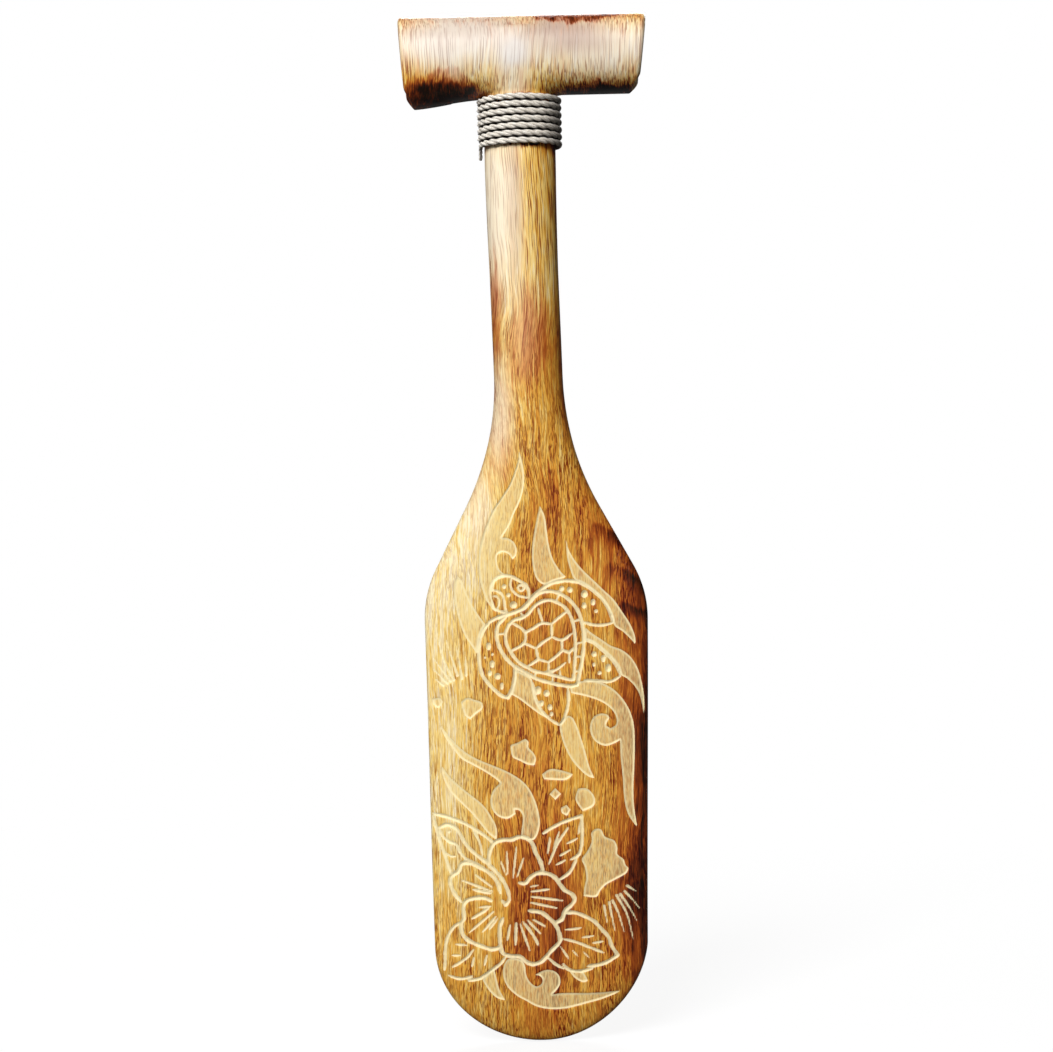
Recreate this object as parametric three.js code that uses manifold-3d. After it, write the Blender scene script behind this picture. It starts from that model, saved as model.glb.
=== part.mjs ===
// Carved wooden wall paddle. The T grip, the oval shaft and the broad blade are one piece of board, and
// a cord is bound round the neck under the grip.
// Millimetres, Z up, X to the right. The carved face looks towards -Y. The origin lies on the blade's
// centre line, level with the underside of the grip, where two wall pegs carry the arms.
import * as THREE from 'three';
import Module from 'manifold-3d';

const wasm = await Module();
wasm.setup();

// Grip: a rounded bar along X, cut a little aslant at both ends
const gripTop = 44;               // above the origin
const gripHalfDepth = 19.5;
const gripPower = 2.3;            // 2 is an oval section, more is squarer
const gripLeft = 62;              // reach of the left end from the centre line
const gripRight = 62.3;
const rightArmFoot = 4.4;         // height of the right arm's underside
const leftArmFoot = 2.8;          // the same on the left arm, beside the neck
const leftArmDrop = 4.4;          // the left arm is this much thicker at its end
const leftSlant = 0.075;          // how far an end leans in, per millimetre down
const rightSlant = 0.115;
const gripEdgeRadius = 2.2;
const lowCornerCut = 3.2;         // the ends are cut back by this much at their low corners

// Neck and shaft, an oval stick that stands a little to the left of the blade's centre line
const neckHalfWidth = 17.9;
const neckHalfDepth = 15.4;
const neckOffset = -2;
const neckFlare = 7;              // spreads into the grip by this much on each side
const neckFlareHeight = 10;
const neckSink = 3.5;             // the flare's depth stops this far inside the grip's faces
const shaftHalfWidth = 17.3;
const shaftLength = 137;          // from the origin down to where the shoulders begin

// Shoulders and blade
const shoulderBlend = 35;         // length of the hollow curve on each side of its corner
const shoulderSlope = 0.529;      // sideways per millimetre down
const shoulderCornerBlend = 14;   // the same for the round corner at the blade's widest point
const bladeHalfWidth = 56.2;
const bladeEndHalfWidth = 53.6;
const bladeSideLength = 164;      // from the round corner down to the round end
const bladeOffset = 1;            // the blade's broadest part stands to the right of the centre line
const roundEndLength = 48;
const wornCorner = 5;             // the round end is drawn in on the right, at most by half of this
const bladeFrontDepth = 8.5;
const bladeBackDepth = 7.8;
const bladeBackFlat = 7;          // the back is sanded flat at this depth
const bladePower = 2.6;

// Cord, bound round the neck in one unbroken length
const cordDiameter = 3.2;
const cordPitch = 3.65;
const cordTurns = 7;
const cordClearance = 0.35;       // between the cord and the wood
const cordStartAngle = 40;        // degrees from +X towards the back
const cordDropStart = 205;        // each turn is level as far as this, then drops over the left and back
const cordTailBend = 4;           // radius of the bend into the tail
const cordTailLength = 3.4;       // straight, at least one diameter

// Smoothness
const sectionSides = 40;
const stationStep = 16;
const curveStep = 6;
const barStep = 10;
const edgeSteps = 3;
const flareSteps = 4;
const cordStepsPerTurn = 24;
const cordSides = 6;
const bendSteps = 5;
const gapSamples = 3;             // points on each step of the cord where its gap is measured

const ramp = (value, from, to) => THREE.MathUtils.smoothstep((value - from) / (to - from), 0, 1);
const mix = THREE.MathUtils.lerp;
const signedPower = (value, power) => Math.sign(value) * Math.abs(value) ** power;

// A closed skin over a row of rings with equal numbers of points, with a fan to a centre at each end.
// Each ring runs anticlockwise as seen from the end that the row of rings leads to.
function loft(rings, firstCentre, lastCentre) {
  const sides = rings[0].length;
  const points = [...rings.flat(), firstCentre, lastCentre];
  const first = points.length - 2;
  const last = points.length - 1;
  const lastRing = (rings.length - 1) * sides;
  const faces = [];
  for (let i = 0; i < sides; i++) {
    const next = (i + 1) % sides;
    faces.push(first, next, i);
    faces.push(last, lastRing + i, lastRing + next);
    for (let ring = 0; ring < lastRing; ring += sides) {
      faces.push(ring + i, ring + next, ring + sides + next);
      faces.push(ring + i, ring + sides + next, ring + sides + i);
    }
  }
  const geometry = new THREE.BufferGeometry();
  geometry.setFromPoints(points);
  geometry.setIndex(faces);
  return geometry;
}

function toSolid(geometry) {
  const vertProperties = new Float32Array(geometry.attributes.position.array);
  const triVerts = new Uint32Array(geometry.index.array);
  return new wasm.Manifold(new wasm.Mesh({ numProp: 3, vertProperties, triVerts }));
}

function toGeometry(solid) {
  const mesh = solid.getMesh();
  const geometry = new THREE.BufferGeometry();
  geometry.setAttribute('position', new THREE.BufferAttribute(mesh.vertProperties, 3));
  geometry.setIndex(new THREE.BufferAttribute(mesh.triVerts, 1));
  return geometry;
}

// The right-hand edge of the shaft and blade as seen from the front: half width across, height up
const shoulderCorner = -shaftLength - shoulderBlend;
const shoulderRun = Math.hypot(1, shoulderSlope);
const widestCorner = shoulderCorner - (bladeHalfWidth - shaftHalfWidth) / shoulderSlope;
const sideTop = widestCorner - shoulderCornerBlend;
const roundEndTop = sideTop - bladeSideLength;
const bladeTip = roundEndTop - roundEndLength;
const bindingTop = leftArmFoot - cordClearance;
const bindingFoot = bindingTop - cordPitch * cordTurns - cordDiameter - cordTailBend - cordTailLength;

function edgeStations() {
  const along = (length) => [length * shoulderSlope / shoulderRun, -length / shoulderRun];
  const [hollowX, hollowZ] = along(shoulderBlend);
  const [cornerX, cornerZ] = along(-shoulderCornerBlend);
  const edge = new THREE.Path();
  edge.moveTo(neckHalfWidth, bindingTop);
  edge.lineTo(neckHalfWidth, bindingFoot);
  edge.lineTo(shaftHalfWidth, (bindingFoot - shaftLength) / 2);
  edge.lineTo(shaftHalfWidth, -shaftLength);
  edge.quadraticCurveTo(shaftHalfWidth, shoulderCorner, shaftHalfWidth + hollowX, shoulderCorner + hollowZ);
  edge.lineTo(bladeHalfWidth + cornerX, widestCorner + cornerZ);
  edge.quadraticCurveTo(bladeHalfWidth, widestCorner, bladeHalfWidth, sideTop);
  edge.lineTo(bladeEndHalfWidth, roundEndTop);
  edge.absellipse(0, roundEndTop, bladeEndHalfWidth, roundEndLength, 0, -Math.PI / 2, true);
  const stations = [];
  for (const curve of edge.curves) {
    const step = curve.isLineCurve ? stationStep : curveStep;
    const points = curve.getPoints(Math.max(1, Math.round(curve.getLength() / step)));
    stations.push(...points.slice(0, -1));
  }
  return stations;
}

// The shaft and blade, lofted from the neck down to the tip. A section is an oval on the shaft and a
// flatter, squarer one on the blade, and thins over the round end as its plan does.
function makeStick() {
  const flareTop = bindingTop + neckFlareHeight;
  const flares = [];
  for (let share = 1; share > 0; share -= 1 / flareSteps) {
    flares.push(new THREE.Vector2(neckHalfWidth + neckFlare * share ** 2, mix(bindingTop, flareTop, share)));
  }
  const stations = [...flares, ...edgeStations()];
  const rings = stations.map(({ x: halfWidth, y: height }) => {
    const flat = ramp(-height, shaftLength - shoulderBlend / 2, -sideTop);
    const spread = ramp(height, bindingTop, flareTop);
    const endShare = THREE.MathUtils.clamp((roundEndTop - height) / roundEndLength, 0, 1);
    const thinning = (1 - endShare ** bladePower) ** (1 / bladePower);
    const flareDepth = gripHalfDepth - neckSink;
    const front = mix(mix(neckHalfDepth, bladeFrontDepth, flat), flareDepth, spread) * thinning;
    const back = mix(mix(neckHalfDepth, bladeBackDepth, flat), flareDepth, spread) * thinning;
    const backFlat = mix(gripHalfDepth, bladeBackFlat, flat);
    const power = 2 / mix(2, bladePower, flat);
    const broadest = ramp(-height, -shoulderCorner, -sideTop) * ramp(height, roundEndTop, sideTop);
    const centre = neckOffset * ramp(height, shoulderCorner, bindingFoot) + bladeOffset * broadest;
    const worn = wornCorner * endShare * Math.sqrt(1 - endShare ** 2);
    return Array.from({ length: sectionSides }, (_, i) => {
      const angle = (i / sectionSides) * 2 * Math.PI;
      const share = signedPower(Math.cos(angle), power);
      const across = halfWidth * share - worn * Math.max(share, 0) ** 4;
      const unit = -signedPower(Math.sin(angle), power);
      const deep = unit < 0 ? unit * front : Math.min(unit * back, backFlat);
      return new THREE.Vector3(centre + across, deep, height);
    });
  });
  const top = new THREE.Vector3(neckOffset, 0, flareTop);
  return loft(rings, top, new THREE.Vector3(0, 0, bladeTip));
}

// Height of the grip's underside at x
function gripFoot(x) {
  const level = mix(leftArmFoot, rightArmFoot, ramp(x, -neckHalfWidth, neckHalfWidth));
  return level - leftArmDrop * ramp(-x, neckHalfWidth, gripLeft);
}

// The grip, lofted along X, with its two ends rounded over at the edge
function makeGrip() {
  const roundOver = (i) => {
    const turn = (i / edgeSteps) * Math.PI / 2;
    return [gripEdgeRadius * (1 - Math.cos(turn)), gripEdgeRadius * (1 - Math.sin(turn))];
  };
  const stations = [];
  for (let i = edgeSteps; i > 0; i--) {
    const [inset, back] = roundOver(i);
    stations.push({ x: back - gripLeft, inset });
  }
  const from = -gripLeft + gripEdgeRadius;
  const to = gripRight - gripEdgeRadius;
  const bays = Math.round((to - from) / barStep);
  for (let i = 0; i <= bays; i++) {
    stations.push({ x: mix(from, to, i / bays), inset: 0 });
  }
  for (let i = 1; i <= edgeSteps; i++) {
    const [inset, back] = roundOver(i);
    stations.push({ x: gripRight - back, inset });
  }
  const lean = (x, height) => x < 0
    ? (x / gripLeft) * leftSlant * height
    : (x / gripRight) * rightSlant * height;
  const rings = stations.map(({ x, inset }) => {
    const foot = gripFoot(x) + inset;
    const top = gripTop - inset;
    const middle = (top + foot) / 2;
    const halfHeight = (top - foot) / 2;
    return Array.from({ length: sectionSides }, (_, i) => {
      const angle = (i / sectionSides) * 2 * Math.PI;
      const y = (gripHalfDepth - inset) * signedPower(Math.cos(angle), 2 / gripPower);
      const rise = halfHeight * signedPower(Math.sin(angle), 2 / gripPower);
      const cut = lowCornerCut * signedPower(x / gripLeft, 9) * ramp(-rise / halfHeight, 0.7, 1.05);
      return new THREE.Vector3(x + lean(x, rise - halfHeight) - cut, y, middle + rise);
    });
  });
  const middleOf = (ring) => ring.reduce((sum, point) => sum.add(point), new THREE.Vector3())
    .divideScalar(ring.length);
  return loft(rings, middleOf(rings[0]), middleOf(rings.at(-1)));
}

function makePaddle() {
  const solid = toSolid(makeStick()).add(toSolid(makeGrip()));
  return toGeometry(solid);
}

// One point of the cord's middle line at an angle round the neck, and the way out from the neck there
function roundNeck(angle, height) {
  const out = new THREE.Vector3(Math.cos(angle) / neckHalfWidth, Math.sin(angle) / neckHalfDepth, 0);
  out.normalize();
  const lift = cordDiameter / 2 + cordClearance;
  const place = new THREE.Vector3(neckHalfWidth * Math.cos(angle), neckHalfDepth * Math.sin(angle), height);
  place.x += neckOffset;
  return { place: place.addScaledVector(out, lift), out };
}

// The cord runs level from the right over the front to the left, drops one pitch over the left and the
// back, and after its last turn bends down into a short tail on the left edge.
function cordPath() {
  const firstHeight = bindingTop - cordDiameter / 2;
  const startAngle = THREE.MathUtils.degToRad(cordStartAngle);
  const dropStart = THREE.MathUtils.degToRad(cordDropStart);
  const turn = 2 * Math.PI;
  const step = turn / cordStepsPerTurn;
  const heightAfter = (travelled) => {
    const done = Math.floor(travelled / turn);
    return firstHeight - cordPitch * (done + ramp(travelled - done * turn, dropStart, turn));
  };
  const start = roundNeck(startAngle, firstHeight);
  const backwards = new THREE.Vector3(-start.out.y, start.out.x, 0);
  const path = [{ place: start.place.clone().addScaledVector(backwards, cordDiameter), out: start.out }];
  const stepCount = Math.round(((cordTurns - 1) * turn + dropStart) / step);
  for (let i = 0; i <= stepCount; i++) {
    path.push(roundNeck(startAngle - i * step, heightAfter(i * step)));
  }
  const bendAngle = startAngle - stepCount * step;
  const bendHeight = path.at(-1).place.z;
  const nextPlace = roundNeck(bendAngle - step, bendHeight).place;
  const perRadian = path.at(-1).place.distanceTo(nextPlace) / step;
  for (let i = 1; i <= bendSteps; i++) {
    const bend = (i / bendSteps) * Math.PI / 2;
    const sideways = cordTailBend * Math.sin(bend);
    const down = cordTailBend * (1 - Math.cos(bend));
    path.push(roundNeck(bendAngle - sideways / perRadian, bendHeight - down));
  }
  const tail = path.at(-1);
  path.push({ place: tail.place.clone().setZ(tail.place.z - cordTailLength), out: tail.out });
  return path;
}

// A six-sided tube along the path, one flat towards the neck, with a fan over each end
function makeBinding() {
  const path = cordPath();
  const rings = path.map(({ place, out }, i) => {
    const before = path[Math.max(0, i - 1)].place;
    const after = path[Math.min(path.length - 1, i + 1)].place;
    const along = after.clone().sub(before).normalize();
    const side = new THREE.Vector3().crossVectors(along, out).normalize();
    const up = new THREE.Vector3().crossVectors(side, along).normalize();
    return Array.from({ length: cordSides }, (_, k) => {
      const angle = ((k + 0.5) / cordSides) * 2 * Math.PI;
      return place.clone()
        .addScaledVector(up, Math.cos(angle) * cordDiameter / 2)
        .addScaledVector(side, Math.sin(angle) * cordDiameter / 2);
    });
  });
  console.log(`least gap between turns of the cord: ${leastGap(path).toFixed(2)} mm`);
  return loft(rings, path[0].place, path.at(-1).place);
}

// The least gap between stretches of the cord more than half a turn apart, from points on the path
function leastGap(path) {
  const curve = new THREE.CatmullRomCurve3(path.map(({ place }) => place));
  const points = curve.getPoints(path.length * gapSamples);
  const halfTurn = Math.round(cordStepsPerTurn * gapSamples / 2);
  let least = Infinity;
  for (let i = 0; i < points.length; i++) {
    for (let j = i + halfTurn; j < points.length; j++) {
      least = Math.min(least, points[i].distanceTo(points[j]));
    }
  }
  return least - cordDiameter;
}

const paddle = new THREE.Group();

function addPiece(name, geometry, colour, roughness) {
  geometry.computeVertexNormals();
  const material = new THREE.MeshStandardMaterial({ color: colour, roughness, metalness: 0 });
  const piece = new THREE.Mesh(geometry, material);
  piece.name = name;
  paddle.add(piece);
}

addPiece('carved_paddle', makePaddle(), 0xc48a4a, 0.4);
addPiece('neck_binding', makeBinding(), 0xe4dccd, 0.9);

export default paddle;
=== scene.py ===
"""Looks of a carved wooden wall paddle with a cord bound round its neck.

Sizes and places are in millimetres, X to the right, Z up, and become metres where a mesh is made.
The carved face looks towards -Y. The origin lies on the blade's centre line under the grip.
"""
import math
from functools import partial

import bpy
import numpy as np
from mathutils import Matrix


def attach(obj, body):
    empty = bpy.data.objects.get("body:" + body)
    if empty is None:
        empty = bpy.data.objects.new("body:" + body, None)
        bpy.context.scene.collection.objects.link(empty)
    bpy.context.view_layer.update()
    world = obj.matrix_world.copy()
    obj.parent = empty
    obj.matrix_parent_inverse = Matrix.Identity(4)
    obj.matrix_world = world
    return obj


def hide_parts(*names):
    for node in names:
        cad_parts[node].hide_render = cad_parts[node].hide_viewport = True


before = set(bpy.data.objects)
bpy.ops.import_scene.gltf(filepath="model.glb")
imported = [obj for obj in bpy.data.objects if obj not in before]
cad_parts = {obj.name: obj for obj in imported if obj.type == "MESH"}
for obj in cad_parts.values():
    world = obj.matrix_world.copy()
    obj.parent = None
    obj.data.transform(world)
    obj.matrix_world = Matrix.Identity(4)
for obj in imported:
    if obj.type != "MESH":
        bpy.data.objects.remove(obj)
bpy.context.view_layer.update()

MM = 0.001

# Grip: a rounded bar along X, cut a little aslant at both ends
GRIP_TOP = 44.0
GRIP_HALF_DEPTH = 19.5
GRIP_POWER = 2.3
GRIP_LEFT = 62.0
GRIP_RIGHT = 62.3
RIGHT_ARM_FOOT = 4.4
LEFT_ARM_FOOT = 2.8
LEFT_ARM_DROP = 4.4
LEFT_SLANT = 0.075
RIGHT_SLANT = 0.115
GRIP_EDGE_RADIUS = 2.2
LOW_CORNER_CUT = 3.2

# Neck and shaft, an oval stick a little to the left of the blade's centre line
NECK_HALF_WIDTH = 17.9
NECK_HALF_DEPTH = 15.4
NECK_OFFSET = -2.0
BLADE_OFFSET = 1.0
NECK_FLARE = 7.0
NECK_FLARE_HEIGHT = 10.0
NECK_SINK = 3.5
NECK_FILLET = 6.0
SHAFT_HALF_WIDTH = 17.3
SHAFT_LENGTH = 137.0

# Shoulders and blade
SHOULDER_BLEND = 35.0
SHOULDER_SLOPE = 0.529
CORNER_BLEND = 14.0
BLADE_HALF_WIDTH = 56.2
BLADE_END_HALF_WIDTH = 53.6
BLADE_SIDE_LENGTH = 164.0
ROUND_END_LENGTH = 48.0
BLADE_FRONT_DEPTH = 8.5
BLADE_BACK_DEPTH = 7.8
BLADE_BACK_FLAT = 7.0
BLADE_POWER = 2.6
WORN_CORNER = 5.0

# Cord, one length bound round the neck, of three slightly uneven strands
CORD_DIAMETER = 3.2
CORD_PITCH = 3.65
CORD_TURNS = 7
CORD_CLEARANCE = 0.35
CORD_START = math.radians(40)
CORD_DROP_START = math.radians(205)
CORD_TAIL_BEND = 4.0
CORD_TAIL_LENGTH = 3.4
STRANDS = 3
STRAND_LAY = 15.6
STRAND_RADIUS = 0.84
LAY_RADIUS = 0.76
TAIL_STRAND_RADIUS = 0.52
LAY_WAVER = 0.12
STRAND_WAVER = 0.05

# Heights that follow from those sizes
SHOULDER_CORNER = -SHAFT_LENGTH - SHOULDER_BLEND
WIDEST_CORNER = SHOULDER_CORNER - (BLADE_HALF_WIDTH - SHAFT_HALF_WIDTH) / SHOULDER_SLOPE
SIDE_TOP = WIDEST_CORNER - CORNER_BLEND
ROUND_END_TOP = SIDE_TOP - BLADE_SIDE_LENGTH
BLADE_TIP = ROUND_END_TOP - ROUND_END_LENGTH
BINDING_TOP = LEFT_ARM_FOOT - CORD_CLEARANCE
BINDING_FOOT = BINDING_TOP - CORD_PITCH * CORD_TURNS - CORD_DIAMETER - CORD_TAIL_BEND - CORD_TAIL_LENGTH
FLARE_TOP = BINDING_TOP + NECK_FLARE_HEIGHT

# Cuts
GROOVE_SLOPE = 0.8
GROOVE_WAVER = (0.09, 0.05)
FLAT_DEPTH = 0.55
FLAT_WALL_SLOPE = 1.1
RIM_WIDTH = 1.1
RIM_DEPTH = 0.3
RIM_WAVER = 0.2
REACH = 3.0  # how far past its edge a cut's distance is worked out
SHARP_TURN = math.radians(62)
CARVING_TOP = -170.0
CARVING_FOOT = -458.0

# How fine the meshes are
FRONT_COLUMNS = 150
BACK_COLUMNS = 22
PLAIN_ROW = 3.0
CARVED_ROW = 0.72
GRIP_SIDES = 88
GRIP_RINGS = 90
CORD_STEP = 0.75
STRAND_SIDES = 10

# Wood: its colour from pale to deep, how deep it is where no stain lies, and the shades of pores and cuts
WOOD_SHADES = [(0.0, "#f8e9c0"), (0.15, "#f3d17a"), (0.3, "#e5aa40"), (0.45, "#d1842d"), (0.6, "#b25a1a"),
               (0.75, "#80350f"), (0.9, "#491e08"), (1.0, "#1e0d03")]
GROUND_DEPTH = 0.3
PORE_SHADE = "#8c3c16"
FLAT_SHADE = "#efd594"
RIM_SHADE = "#f7e6b4"
GROOVE_SHADE = "#f9ebbc"
# soft patches of deeper or paler colour, some of them painted shade: across, up, half width, half height,
# amount
STAINS_AND_SHADE = [
    # shaft: pale on the left, painted shade along the right edge
    (-11, -65, 36, 120, -0.15), (1, -120, 15, 32, 0.27), (-16, -112, 6, 46, 0.3), (9, -100, 5, 26, -0.08),
    (-4, -50, 5, 50, 0.05), (24, -85, 14.5, 110, 0.6),
    # grip: pale, partly painted light that lifts its lower front above the dark undersides, a little deeper
    # along its top
    (-30, 24, 70, 28, -0.16), (42, 18, 60, 24, -0.2), (0, 45, 90, 9, 0.06),
    # shoulders: pale on the left, red-brown elsewhere
    (-44, -225, 44, 70, -0.24), (4, -212, 16, 34, 0.06), (8, -197, 7, 18, 0.18), (24, -205, 14, 30, 0.1),
    (52, -235, 20, 60, 0.18), (43, -224, 21, 32, 0.12), (37, -222, 11, 18, 0.12),
    # blade: golden on the left, dark at the right edge, partly deeper heartwood and partly painted shade
    (8, -266, 22, 34, 0.06), (-52, -330, 24, 120, -0.18), (-32, -330, 20, 100, -0.07),
    (-4, -280, 30, 110, 0.05), (2, -410, 28, 110, 0.22), (-12, -400, 7, 60, 0.1), (8, -415, 7, 60, 0.2),
    (64, -340, 32, 190, 0.55), (38, -410, 24, 100, 0.08), (50, -430, 22, 60, 0.15),
]
# the same with firmer rims: undersides of the grip, partly darker end grain and partly painted shade, its top
# edge, and painted shadow on the neck under the cord
DEEP_STAINS_AND_SHADE = [
    (-46, -10, 41, 21, 0.46), (-38, 6, 15, 10, 0.22), (43, -13.5, 42, 22, 0.52), (27, 44.5, 25, 8.5, 0.36),
    (43, -2.5, 42, 11, 0.3), (-2, -10.5, 26, 13.6, 0.85),
]
# a shade and its patches, mixed in: paler wood with a painted sheen on the grip, and on shaft and shoulder,
# and greyed wood
TINTS_AND_SHEEN = [
    ("#e0d9d1", [(-32, 30, 60, 26, 0.85), (42, 26, 60, 23, 0.7), (-4, 12, 13, 26, 0.5)]),
    ("#f4e7d0", [(-15, -50, 18, 66, 0.85), (-16, -156, 12, 42, 0.6), (-28, -200, 12, 34, 0.45),
                 (-4, -108, 18, 46, 0.2)]),
    ("#b1978a", [(24, 31, 30, 15, 0.75), (-22, 34, 60, 12, 0.35), (-5, -50, 6, 70, 0.4)]),
]

# Arches of growth rings on the right shoulder: their patch, lean and spacing
RINGS_REGION = (44, -233, 31, 50, 1.0)
RING_SPACING = 19.5
RING_APEX = (28.5, -211.0)
RING_LEAN = -0.35
RING_ROUND = 3.0
RING_FALL = 1.94
RING_TILT = -1.07
RING_DEPTH = 0.22

# Grain, as sizes of its clouds across, deep and along. Fine, coarse and hair-like pores, drawn wider than
# real ones so that they show: size, where the noise starts, and the span of it that makes a pore
COMBING = (0.6, 30, 6)
STREAKS = (3, 8, 60)
FIBRES = (0.5, 3, 10)
CROWDS = (9, 14, 50)
SCRAPES = (0.55, 3, 3.5)
PORES = [((0.42, 2.4, 4.2), (0, 0, 0), 0.51, 0.58), ((0.5, 3, 10), (3, 1, 8), 0.57, 0.64),
         ((0.42, 3, 22), (2, 6, 4), 0.53, 0.62)]
PORE_DEPTH = 0.03
FURROW_DEPTH = 0.25

# Cotton yarns on the strands, and painted shade on the binding's right side and in its hollows
YARN_SHADES = ("#b5a792", "#f6f1e8")
YARN_WIDTH = 0.2
YARN_SLANT = math.radians(24)
YARN_DEPTH = 0.25
PAINTED_CORD_SHADE = "#382e26"
CORD_SHADED_SIDE = [(24, -12, 18, 40, 0.8)]

# Camera and light
CAMERA_DISTANCE = 1150.0
CAMERA_AIM = (-2.9, -212.7)
CAMERA_LEAN = math.radians(1.2694)
SEEN_WIDTH = 526.5
PADDLE_MIDDLE = -0.2
ROOM_LIGHT = 0.1
FLOOR_PAINT = 0.12
FLOOR_LIFT = 0.87
REFLECTED_WHITE = 0.04
FLOOR_HALF = 6.0

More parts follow.
